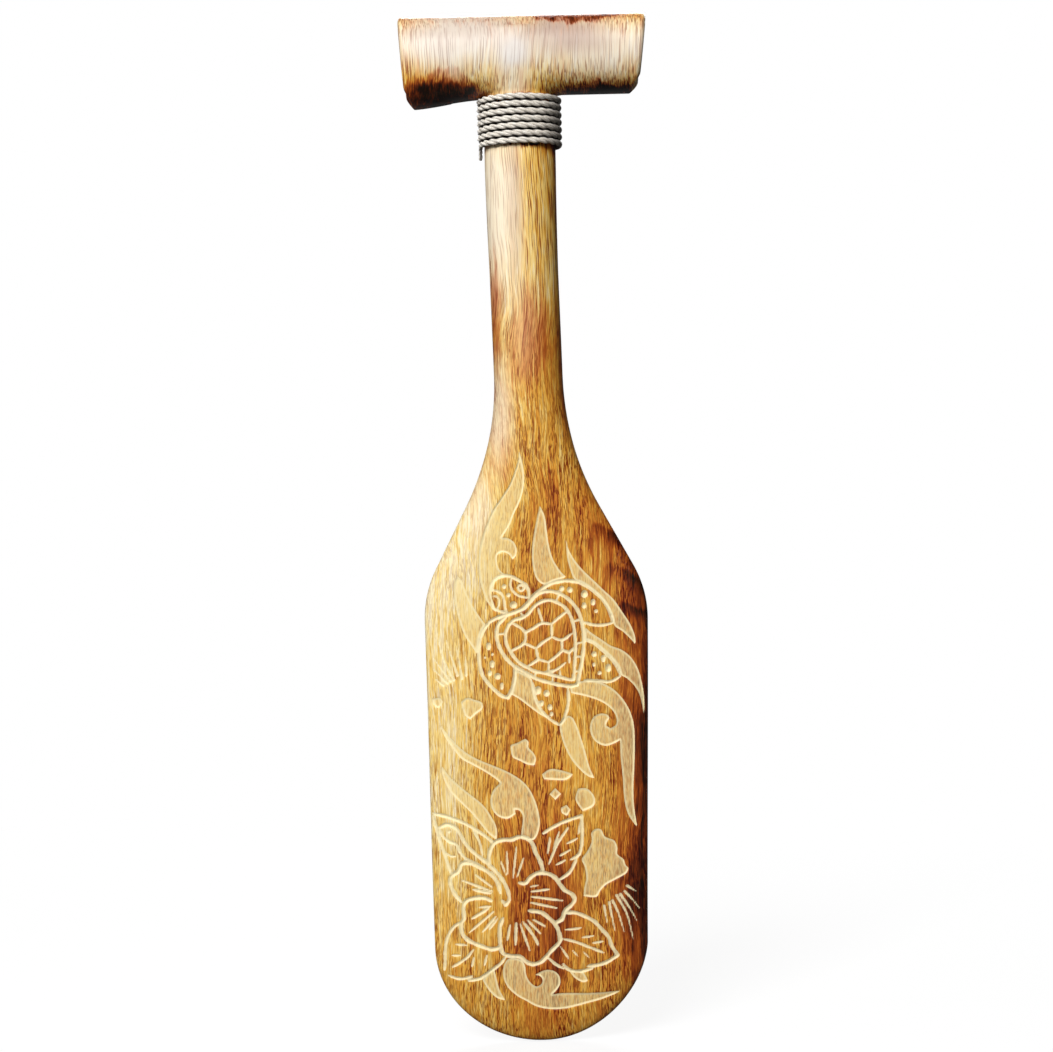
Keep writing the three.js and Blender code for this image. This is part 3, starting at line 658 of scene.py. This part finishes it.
def sink_flat(field, places, points):
    """Adds a sunk flat to the field: the distance to its outline, positive inside, where a ray to the
    right crosses it an odd number of times."""
    line = smooth_line(points, closed=True)
    near = near_line(places, line)
    gap = -distance_to(places[near], line, np.zeros(len(line)))
    (x0, z0), (x1, z1) = line[:-1].T, line[1:].T
    x, z = places[near, :1], places[near, 1:]
    rise = np.where(z1 == z0, 1, z1 - z0)
    crosses = ((z0 > z) != (z1 > z)) & (x < x0 + (z - z0) / rise * (x1 - x0))
    inside = crosses.sum(1) % 2 == 1
    field[near] = np.maximum(field[near], np.where(inside, gap, -gap))


def carve(points):
    """Sinks the carving into the blade's front. Grooves are V cuts, and flats have a slanting wall, a
    shallow cut along their rim and a level floor. Gives back both fields for the material."""
    x, y, z = points.T
    front = np.flatnonzero((y < -0.5) & (z < CARVING_TOP) & (z > CARVING_FOOT))
    places = points[front][:, [0, 2]]
    cut, sunk = np.full((2, len(front)), -REACH)
    for outline in FLATS:
        sink_flat(sunk, places, outline)
    for width, *lines in TURTLE + HIBISCUS + LEAVES:
        for line in lines:
            cut_line(cut, places, line, width)
    for line in SPRAYS:
        cut_line(cut, places, line, SPRAY_WIDTH, thin_end=SPRAY_THIN_END)
    for middle, half_width, half_height in NICKS:
        reach = max(half_height - half_width, 0.05) * 1j
        cut_line(cut, places, [middle - reach, middle + reach], 2 * half_width, taper=40)
    groove = np.clip(cut, 0, None) * GROOVE_SLOPE
    x, z = places.T
    waver = RIM_WAVER * np.sin(1.1 * x + 0.5 * z) * np.sin(0.9 * z - 0.4 * x)
    rim = RIM_DEPTH * np.clip(1 - np.abs(sunk - RIM_WIDTH / 2 - waver) / (RIM_WIDTH / 2), 0, 1)
    flat = np.clip(sunk * FLAT_WALL_SLOPE, 0, FLAT_DEPTH) + rim
    points[front, 1] += np.maximum(groove, flat) + np.minimum(groove, flat) * 0.5
    fields = np.full((2, len(points)), -REACH, np.float32)
    fields[:, front] = cut, sunk
    return fields


def make_wood():
    wood = make_stick()
    fuse(wood, make_grip())
    mesh = wood.data
    points = np.array([vertex.co for vertex in mesh.vertices]) / MM
    round_junction(points)
    for name, field in zip(("groove", "flat"), carve(points)):
        mesh.attributes.new(name, "FLOAT", "POINT").data.foreach_set("value", field)
    mesh.vertices.foreach_set("co", (points * MM).astype(np.float32).ravel())
    mesh.shade_smooth()
    mesh.update()
    return wood


# Cord

def round_neck(angle, height):
    """Points of the cord's middle line at angles round the neck, and the ways out from the neck."""
    flat = np.zeros_like(angle)
    out = np.stack([np.cos(angle) / NECK_HALF_WIDTH, np.sin(angle) / NECK_HALF_DEPTH, flat], -1)
    out /= length_of(out)
    wall = np.stack([NECK_OFFSET + NECK_HALF_WIDTH * np.cos(angle), NECK_HALF_DEPTH * np.sin(angle),
                     flat + height], -1)
    return wall + out * (CORD_DIAMETER / 2 + CORD_CLEARANCE), out


def cord_path():
    """The cord's middle line. Each turn runs level from the right over the front and drops one pitch
    over the left and the back. The last one bends down into a short straight tail."""
    turn = 2 * math.pi
    travelled = np.linspace(0, (CORD_TURNS - 1) * turn + CORD_DROP_START, 1600)
    done = np.floor(travelled / turn)
    dropped = CORD_PITCH * (done + ramp(travelled - done * turn, CORD_DROP_START, turn))
    height = BINDING_TOP - CORD_DIAMETER / 2 - dropped
    place, out = round_neck(CORD_START - travelled, height)
    backwards = np.array([-out[0, 1], out[0, 0], 0])
    lead = np.linspace(CORD_DIAMETER, 0, 7)[:-1, None]
    bend = np.linspace(0, math.pi / 2, 12)[1:]
    per_radian = np.linalg.norm(place[-1] - place[-2]) / (travelled[-1] - travelled[-2])
    bent, bent_out = round_neck(CORD_START - travelled[-1] - CORD_TAIL_BEND * np.sin(bend) / per_radian,
                                height[-1] - CORD_TAIL_BEND * (1 - np.cos(bend)))
    drop = np.linspace(0, CORD_TAIL_LENGTH, 8)[1:, None]
    path = np.vstack([place[0] + lead * backwards, place, bent, bent[-1] - drop * [0, 0, 1]])
    return path, np.vstack([out[[0] * len(lead)], out, bent_out, bent_out[[-1] * len(drop)]])


def make_cord():
    """Round strands, drawn in at both ends, laid round the cord's middle line at an angle that grows with
    the length run."""
    path, outs = cord_path()
    run = run_along(path)
    even = np.linspace(0, run[-1], int(run[-1] / CORD_STEP))
    path, outs = (np.stack([np.interp(even, run, column) for column in values.T], -1)
                  for values in (path, outs))
    along = np.gradient(path, axis=0)
    along /= length_of(along)
    up = np.cross(along, outs)
    up /= length_of(up)
    outs = np.cross(up, along)
    to_end = run[-1] - even
    slack = ramp(to_end, CORD_TAIL_LENGTH + CORD_TAIL_BEND * 0.4, CORD_TAIL_LENGTH + CORD_TAIL_BEND * 2.2)
    strand_radius = mix(TAIL_STRAND_RADIUS, STRAND_RADIUS, slack)
    lay_radius = mix(TAIL_STRAND_RADIUS * 0.9, LAY_RADIUS, slack)[:, None]
    lay_length = mix(STRAND_LAY * 0.45, STRAND_LAY, slack)
    turned = 2 * np.pi * np.r_[0, np.cumsum(np.diff(even) / lay_length[1:])]
    round_strand = np.linspace(0, 2 * np.pi, STRAND_SIDES, endpoint=False)[None, :, None]
    draw_in = np.sqrt(np.clip(np.minimum(even, to_end) / strand_radius, 0.02, 1))
    points, faces, places = [], [], []
    for k in range(STRANDS):
        lay = turned + 2 * np.pi * k / STRANDS + LAY_WAVER * np.sin(even * 0.31 + k)
        middle = path + lay_radius * (outs * np.cos(lay)[:, None] + up * np.sin(lay)[:, None])
        plump = strand_radius * draw_in * (1 + STRAND_WAVER * np.sin(even * 0.83 + 2.1 * k))
        rings = middle[:, None] + plump[:, None, None] * (
            outs[:, None] * np.cos(round_strand) + up[:, None] * np.sin(round_strand))
        strand_points, strand_faces = skin(rings, k * (STRAND_SIDES * len(even) + 2))
        points.append(strand_points)
        faces += strand_faces
        around = (round_strand[..., 0] - lay[:, None]) * STRAND_RADIUS
        # how far out from the cord's middle each point lies, for the painted shade in the hollows
        outward = ((rings - path[:, None]) * outs[:, None]).sum(2) / (LAY_RADIUS + STRAND_RADIUS)
        along_strand = np.broadcast_to(even[:, None], around.shape)
        grid = np.stack([along_strand, around, outward], -1).reshape(-1, 3)
        places += [grid, grid[:1], grid[-1:]]
    cord = make_mesh("bound_cord", np.vstack(points), faces)
    yarn = cord.data.attributes.new("yarn", "FLOAT_VECTOR", "POINT")
    yarn.data.foreach_set("vector", np.vstack(places).astype(np.float32).ravel())
    return cord


# Materials

SMOOTH = {"interpolation_type": "SMOOTHSTEP"}
COLOURS = {"data_type": "RGBA"}


def add_node(tree, kind, inputs=(), output=0, **settings):
    """Adds a shader node of a kind, or a kind and its operation, with its settings, fills or links its
    inputs, in their order or by label or number, and gives back one of its outputs."""
    kind, _, operation = kind.partition(" ")
    node = tree.nodes.new("ShaderNode" + kind)
    if operation:
        node.operation = operation
    for name, value in settings.items():
        setattr(node, name, value)
    for name, value in inputs.items() if isinstance(inputs, dict) else enumerate(inputs):
        if isinstance(value, bpy.types.NodeSocket):
            tree.links.new(value, node.inputs[name])
        else:
            node.inputs[name].default_value = value
    return node.outputs[output] if node.outputs else None


def clear_nodes(thing):
    """Empties a material's or world's node tree, and gives back the function that adds a node to it."""
    thing.use_nodes = True
    thing.node_tree.nodes.clear()
    return partial(add_node, thing.node_tree)


def new_material(name):
    material = bpy.data.materials.new(name)
    return material, clear_nodes(material)


def millimetres(add):
    """Where a point lies on its object, in mm."""
    place = add("TexCoord", output="Object")
    return add("VectorMath SCALE", {0: place, "Scale": 1 / MM})


def along_grain(add, place, size, start, detail=2.0):
    """Clouds from 0 to 1 of a size in mm, across, deep and along the grain."""
    scaled = add("Mapping", {"Vector": place, "Location": start, "Scale": [1 / length for length in size]})
    return add("TexNoise", {"Vector": scaled, "Scale": 1.0, "Detail": detail})


def wandering(add, place, scale, reach):
    """The place moved about by soft noise, by up to half of reach each way."""
    wander = add("TexNoise", {"Vector": place, "Scale": scale}, "Color")
    wander = add("VectorMath SUBTRACT", [wander, (0.5, 0.5, 0.5)])
    return add("VectorMath MULTIPLY_ADD", [wander, reach, place])


def combed(add, place, size, reach):
    """The place moved along the grain, by up to half of reach each way, so that the rims of patches run
    out in streaks."""
    shift = along_grain(add, place, size, (9, 4, 2))
    shift = add("Math MULTIPLY_ADD", [shift, reach, -reach / 2])
    shift = add("CombineXYZ", {"Z": shift})
    return add("VectorMath ADD", [place, shift])


def patches(add, place, ovals, full=0.2):
    """The sum of soft ovals, each full up to a share of the way to its rim."""
    total = 0.0
    for x, z, half_width, half_height, amount in ovals:
        shrink, shift = (1 / half_width, 0, 1 / half_height), (-x / half_width, 0, -z / half_height)
        off = add("VectorMath MULTIPLY_ADD", [place, shrink, shift])
        reach = add("VectorMath LENGTH", [off], "Value")
        patch = add("MapRange", [reach, 1.0, full, 0.0, amount], **SMOOTH)
        total = add("Math ADD", [total, patch])
    return total


def depth_of_colour(add, place, along):
    """How deep the wood's colour is, from 0 in pale sapwood to 1 in the darkest heartwood: an even
    ground, stains and painted shade, growth rings, streaks along the grain, and end grain, which drinks more
    lacquer."""
    streaky = combed(add, along, (1.1, 5, 60), 60)
    # stains, with painted shade along the right edges of shaft and blade and painted light on the grip's
    # lower front
    depth = patches(add, wandering(add, streaky, 0.03, (12, 0, 30)), STAINS_AND_SHADE)
    fringed = combed(add, place, COMBING, 5.5)
    # firmer patches: painted shade under the grip's arms and painted shadow on the neck under the cord
    firm = patches(add, wandering(add, fringed, 0.12, (10, 0, 8)), DEEP_STAINS_AND_SHADE, 0.8)
    for part in (firm, GROUND_DEPTH, shoulder_rings(add, place)):
        depth = add("Math ADD", [depth, part])

    streak = along_grain(add, along, STREAKS, (1, 0, 2), 4.0)
    streak = add("MapRange", [streak, 0.32, 0.68, -0.5, 0.5])
    strength = add("MapRange", [depth, 0.2, 0.6, 0.12, 0.28])
    depth = add("Math MULTIPLY_ADD", [streak, strength, depth])
    fibre = along_grain(add, along, FIBRES, (7, 0, 3))
    fibre = add("Math SUBTRACT", [fibre, 0.5])
    depth = add("Math MULTIPLY_ADD", [fibre, 0.65, depth])

    upright = add("NewGeometry", output="Normal")
    upright = add("SeparateXYZ", [upright], 2)
    upright = add("Math ABSOLUTE", [upright])
    end_grain = add("MapRange", [upright, 0.5, 0.9, 0.0, 0.08], **SMOOTH)
    return add("Math ADD", [depth, end_grain])


def shoulder_rings(add, place):
    """Dark growth rings that the right shoulder cuts across, as a nest of arches. Each is a hyperbola about
    a leaning line of tops, steep on its left and slanting on its right."""
    bent = wandering(add, combed(add, place, COMBING, 4), 0.06, (7, 0, 11))
    x = add("SeparateXYZ", [bent])
    z = x.node.outputs[2]
    apex_x, apex_z = RING_APEX
    middle = add("Math MULTIPLY_ADD", [z, RING_LEAN, apex_x - RING_LEAN * apex_z])
    off = add("Math SUBTRACT", [x, middle])
    square = add("Math MULTIPLY_ADD", [off, off, RING_ROUND ** 2])
    root = add("Math SQRT", [square])
    arch = add("Math MULTIPLY_ADD", [root, RING_FALL, z])
    arch = add("Math MULTIPLY_ADD", [off, RING_TILT, arch])
    turn = add("Math SUBTRACT", [apex_z + RING_FALL * RING_ROUND, arch])
    turn = add("Math DIVIDE", [turn, RING_SPACING])
    below = add("Math FRACT", [turn])
    fading = add("MapRange", [below, 0.7, 0.18, 0.0, RING_DEPTH], **SMOOTH)
    starting = add("MapRange", [below, 0.0, 0.18], **SMOOTH)
    line = add("Math MULTIPLY", [fading, starting])
    region = patches(add, place, [RINGS_REGION], 0.5)
    return add("Math MULTIPLY", [line, region])


def lacquered_monkeypod():
    """Monkeypod board under satin lacquer: honey sapwood on the left, red-brown heartwood, short dark
    pores along the grain, and pale bare wood where the tool has cut."""
    material, add = new_material("lacquered_monkeypod")
    place = millimetres(add)
    along = wandering(add, place, 0.012, (14, 0, 0))
    depth = depth_of_colour(add, place, along)
    colour = add("ValToRGB", [depth])
    stops = colour.node.color_ramp.elements
    for share, shade in WOOD_SHADES[1:-1]:
        stops.new(share)
    for stop, (share, shade) in zip(stops, WOOD_SHADES):
        stop.position = share
        stop.color = linear(shade)
    sparing = add("MapRange", [depth, 0.72, 0.3])
    open_pores = 1.0
    # paler wood with a painted sheen on grip, shaft and shoulder, and greyed wood
    for shade, ovals in TINTS_AND_SHEEN:
        tint = patches(add, wandering(add, place, 0.05, (4, 0, 16)), ovals)
        tint = add("Math MULTIPLY", [tint, sparing])
        colour = add("Mix", {0: tint, 6: colour, 7: linear(shade)}, 2, **COLOURS)
        closed = add("MapRange", {"Value": tint, "To Min": 1.0, "To Max": 0.35})
        open_pores = add("Math MULTIPLY", [open_pores, closed])

    # pores crowd together here and there, are more open in deep wood, and are hair-like on the handle
    fine, coarse, hair = (
        add("MapRange", [along_grain(add, along, size, start, 1.0), low, high], **SMOOTH)
        for size, start, low, high in PORES)
    crowd = along_grain(add, place, CROWDS, (5, 2, 1))
    crowd = add("MapRange", [crowd, 0.35, 0.62, 0.45, 1.0], **SMOOTH)
    deep = add("MapRange", [depth, 0.1, 0.42, 0.4])
    pores = add("Math MAXIMUM", [fine, coarse])
    for share in (crowd, deep):
        pores = add("Math MULTIPLY", [pores, share])
    height = add("SeparateXYZ", [place], 2)
    handled = add("MapRange", [height, SHOULDER_CORNER, -SHAFT_LENGTH / 2, 0.0, 0.85], **SMOOTH)
    pores = add("Mix", {0: handled, 2: pores, 3: hair})
    pores = add("Math MULTIPLY", [pores, open_pores])
    porous = add("Mix", {0: pores, 6: colour, 7: linear(PORE_SHADE)}, 2, blend_type="MULTIPLY", **COLOURS)

    # bare wood in the cuts: the ground of a flat keeps the grain, and its rim and the grooves are paler
    groove = add("Attribute", output="Fac", attribute_name="groove")
    flat = add("Attribute", output="Fac", attribute_name="flat")
    scraped = along_grain(add, place, SCRAPES, (5, 5, 5))
    scraped = add("MapRange", [scraped, 0.35, 0.65, 0.3, 0.84])
    ground = add("Mix", {0: scraped, 6: porous, 7: linear(FLAT_SHADE)}, 2, **COLOURS)
    rim = add("MapRange", [flat, RIM_WIDTH * 1.3, RIM_WIDTH * 0.4, 0.0, 0.85], **SMOOTH)
    bare = add("Mix", {0: rim, 6: ground, 7: linear(RIM_SHADE)}, 2, **COLOURS)
    in_flat = add("MapRange", [flat, -0.12, 0.18], **SMOOTH)
    surface = add("Mix", {0: in_flat, 6: porous, 7: bare}, 2, **COLOURS)
    ragged = add("TexNoise", {"Vector": place, "Scale": 0.8})
    ragged = add("Math MULTIPLY_ADD", [ragged, 0.5, -0.2])
    ragged = add("Math ADD", [ragged, groove])
    in_groove = add("MapRange", [ragged, -0.1, 0.3], **SMOOTH)
    cleaned = add("Math MULTIPLY", [in_groove, 0.8])
    surface = add("Mix", {0: cleaned, 6: surface, 7: linear(GROOVE_SHADE)}, 2, **COLOURS)

    cut = add("Math MAXIMUM", [in_flat, in_groove])
    roughness = add("Math MULTIPLY_ADD", [cut, 0.2, 0.38])
    hollow = add("Math MULTIPLY", [pores, -PORE_DEPTH])
    furrow = add("Clamp", [groove, 0.0, 1.2])
    relief = add("Math MULTIPLY_ADD", [furrow, -FURROW_DEPTH, hollow])
    relief = add("Math MULTIPLY", [relief, MM])
    bump = add("Bump", {"Height": relief, "Distance": 1.0})
    shader = add("BsdfPrincipled", {"Base Color": surface, "Roughness": roughness, "Normal": bump,
                                    "IOR": 1.5, "Specular IOR Level": 0.35})
    add("OutputMaterial", [shader])
    return material


def twisted_cotton():
    """Bleached cotton cord: matt off-white yarns that lie aslant on each strand, with painted shade in the
    hollows and on the binding's right side.
    """
    material, add = new_material("twisted_cotton")
    yarn = add("Attribute", output="Vector", attribute_name="yarn")
    turned = add("Mapping", {
        "Vector": yarn, "Rotation": (0, 0, YARN_SLANT), "Scale": (0.35, 1 / YARN_WIDTH, 0.0)})
    fibres = add("TexNoise", {"Vector": turned, "Scale": 1.0, "Detail": 3.0})
    shade = add("MapRange", [fibres, 0.36, 0.56])
    dark, pale = (linear(shade) for shade in YARN_SHADES)
    colour = add("Mix", {0: shade, 6: dark, 7: pale}, 2, **COLOURS)
    outward = add("SeparateXYZ", [yarn], 2)
    # painted shade in the hollows between the strands, and on the binding's right side
    hollow = add("MapRange", [outward, 0.6, 0.0, 0.0, 0.9], **SMOOTH)
    shaded_side = patches(add, millimetres(add), CORD_SHADED_SIDE)
    painted_shade = add("Math MAXIMUM", [hollow, shaded_side])
    colour = add("Mix", {0: painted_shade, 6: colour, 7: linear(PAINTED_CORD_SHADE)}, 2, **COLOURS)
    relief = add("Math MULTIPLY", [fibres, YARN_DEPTH * MM])
    bump = add("Bump", {"Height": relief, "Distance": 1.0})
    shader = add("BsdfPrincipled", {"Base Color": colour, "Roughness": 0.85, "Normal": bump,
                                    "Sheen Weight": 0.1, "Sheen Roughness": 0.5})
    add("OutputMaterial", [shader])
    return material


# Camera, floor and light

def make_camera():
    """Looks straight at the blade's face, and leans as far as the paddle leans in the photograph."""
    data = bpy.data.cameras.new("camera")
    data.lens = data.sensor_width * CAMERA_DISTANCE / SEEN_WIDTH
    camera = put_in_scene("camera", data)
    x, z = CAMERA_AIM
    place = Matrix.Translation((x * MM, (-BLADE_FRONT_DEPTH - CAMERA_DISTANCE) * MM, z * MM))
    camera.matrix_world = place @ Matrix.Rotation(CAMERA_LEAN, 4, "Y") @ Matrix.Rotation(math.pi / 2, 4, "X")
    bpy.context.scene.camera = camera


def make_softbox(name, azimuth, rise, distance, size, power):
    """A square lamp, metres from the paddle's middle: azimuth is degrees from the front to the right, and
    rise degrees from level."""
    data = bpy.data.lights.new(name, "AREA")
    data.shape = "SQUARE"
    data.size = size
    data.energy = power
    turn = Matrix.Rotation(math.radians(azimuth), 4, "Z") @ Matrix.Rotation(math.radians(90 - rise), 4, "X")
    middle, out = (Matrix.Translation((0, 0, up)) for up in (PADDLE_MIDDLE, distance))
    put_in_scene(name, data).matrix_world = middle @ turn @ out


def as_seen(add, viewed, plain):
    """One value for rays from the camera or through glass, a low one for rays off a glossy surface, on
    which a white room would lie as haze, and one for the rest."""
    path = add("LightPath").node.outputs
    straight = add("Math MAXIMUM", [path["Is Camera Ray"], path["Is Transmission Ray"]])
    off_surface = add("Mix", {0: path["Is Glossy Ray"], 2: plain, 3: REFLECTED_WHITE})
    return add("Mix", {0: straight, 2: off_surface, 3: viewed})


def make_floor():
    """A floor just under the blade's tip, plain white but for the paddle's shadow near it."""
    height = (BLADE_TIP - 0.5) * MM
    corners = [(x * FLOOR_HALF, y * FLOOR_HALF, height) for x, y in ((-1, -1), (1, -1), (1, 1), (-1, 1))]
    mesh = bpy.data.meshes.new("floor")
    mesh.from_pydata(corners, [], [(0, 1, 2, 3)])
    material, add = new_material("pale_floor")
    paint = add("BsdfDiffuse", [as_seen(add, FLOOR_PAINT, FLOOR_PAINT)])
    glow = add("Emission", {"Strength": as_seen(add, FLOOR_LIFT, 0.0)})
    both = add("AddShader", [paint, glow])
    where = add("TexCoord", output="Object")
    level = add("VectorMath MULTIPLY", [where, (1, 1, 0)])
    away = add("VectorMath LENGTH", [level], "Value")
    far = add("MapRange", [away, 0.25, 1.0], **SMOOTH)
    white = add("Emission")
    faded = add("Math MULTIPLY", [far, as_seen(add, 1.0, 0.0)])
    joined = add("MixShader", [faded, both, white])
    add("OutputMaterial", [joined])
    mesh.materials.append(material)
    put_in_scene("floor", mesh)


def make_world():
    """White to the camera, and a dim even light on the paddle, brighter from the left."""
    world = bpy.data.worlds.new("studio")
    add = clear_nodes(world)
    way = add("TexCoord", output="Generated")
    rightward = add("SeparateXYZ", [way])
    room = add("MapRange", [rightward, -1.0, 1.0, ROOM_LIGHT * 1.9, ROOM_LIGHT * 0.1])
    sky = add("Background", [(1, 1, 1, 1), as_seen(add, 1.0, room)])
    add("OutputWorld", [sky])
    bpy.context.scene.world = world


make_camera()
make_softbox("window", azimuth=-20, rise=33, distance=2.4, size=1.0, power=72)
make_softbox("back_lamp", azimuth=172, rise=32, distance=2.2, size=1.0, power=36)
make_floor()
make_world()
bpy.context.scene.view_settings.view_transform = "Standard"

wood = make_wood()
wood.data.materials.append(lacquered_monkeypod())
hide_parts("carved_paddle")
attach(wood, "root")

cord = make_cord()
cord.data.materials.append(twisted_cotton())
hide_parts("neck_binding")
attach(cord, "root")
